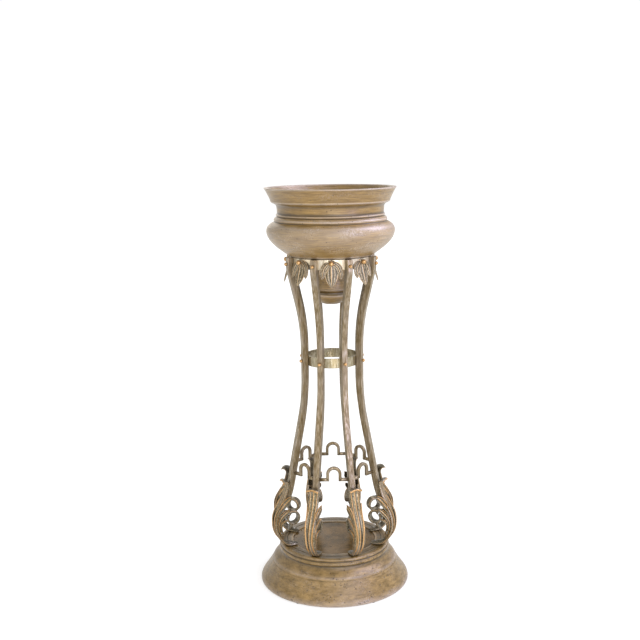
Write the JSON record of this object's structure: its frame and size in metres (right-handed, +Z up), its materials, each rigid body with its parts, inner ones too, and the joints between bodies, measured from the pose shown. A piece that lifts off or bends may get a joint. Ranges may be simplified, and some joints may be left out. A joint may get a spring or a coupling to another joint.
{
  "type": "jardiniere on stand",
  "caption": "Tall round planter: a turned bowl with flared rim that lifts out of a waisted cage of bars on acanthus brackets, over a round moulded plinth.",
  "frame": {"origin": "on the floor under the stand's axis, at the middle of the plinth's underside", "axes": "+Z up through the bowl, -Y to the front, midway between two bars, +X to the right as seen from the front"},
  "size_m": [0.417, 0.417, 1.1],
  "materials": {
    "tan_cast": "cast resin, antiqued tan paint with brown in the grooves, soft satin",
    "brown_panel": "dark brown panel, satin",
    "bronze_bar": "square steel bar, olive bronze paint, rubbed edges",
    "bronze_leaf": "cast leaf and scroll work, bronze paint rubbed back to gold on the edges",
    "bronze_band": "flat steel band, olive bronze paint",
    "copper_studs": "ball-headed rivets, copper-gold",
    "seat_plate": "dark bronze painted plate",
    "seat_pads": "soft rest pads under the bowl",
    "floor_pads": "soft floor pads",
    "fixings": "plain steel screws, bolt and washer"
  },
  "bodies": {
    "stand": {"plinth_base": "tan_cast", "plinth_disc": "brown_panel", "floor_pads": "floor_pads", "foot_screws": "fixings", "leg_1": "bronze_bar", "leg_2": "bronze_bar", "leg_3": "bronze_bar", "leg_4": "bronze_bar", "leg_5": "bronze_bar", "leg_6": "bronze_bar", "leg_7": "bronze_bar", "leg_8": "bronze_bar", "acanthus_bracket_1": "bronze_leaf", "acanthus_bracket_2": "bronze_leaf", "acanthus_bracket_3": "bronze_leaf", "acanthus_bracket_4": "bronze_leaf", "acanthus_bracket_5": "bronze_leaf", "acanthus_bracket_6": "bronze_leaf", "acanthus_bracket_7": "bronze_leaf", "acanthus_bracket_8": "bronze_leaf", "scroll_1": "bronze_leaf", "scroll_2": "bronze_leaf", "scroll_3": "bronze_leaf", "scroll_4": "bronze_leaf", "scroll_5": "bronze_leaf", "scroll_6": "bronze_leaf", "scroll_7": "bronze_leaf", "scroll_8": "bronze_leaf", "arch_link_1": "bronze_bar", "arch_link_2": "bronze_bar", "arch_link_3": "bronze_bar", "arch_link_4": "bronze_bar", "arch_link_5": "bronze_bar", "arch_link_6": "bronze_bar", "arch_link_7": "bronze_bar", "arch_link_8": "bronze_bar", "leaf_ornament_1": "bronze_leaf", "leaf_ornament_2": "bronze_leaf", "leaf_ornament_3": "bronze_leaf", "leaf_ornament_4": "bronze_leaf", "leaf_ornament_5": "bronze_leaf", "leaf_ornament_6": "bronze_leaf", "leaf_ornament_7": "bronze_leaf", "leaf_ornament_8": "bronze_leaf", "waist_ring": "bronze_band", "waist_rivets": "copper_studs", "collar_ring": "bronze_band", "collar_rivets": "copper_studs", "leaf_studs": "copper_studs", "bowl_seat": "seat_plate", "seat_pads": "seat_pads", "drop_cup": "tan_cast", "cup_bolt": "fixings", "cup_washer": "fixings"},
    "bowl": {"bowl": "tan_cast"}
  },
  "joints": [
    {"name": "bowl_lift", "type": "slide", "parent": "stand", "child": "bowl", "axis": [0, 0, 1], "range_m": [0, 0.3]}
  ]
}
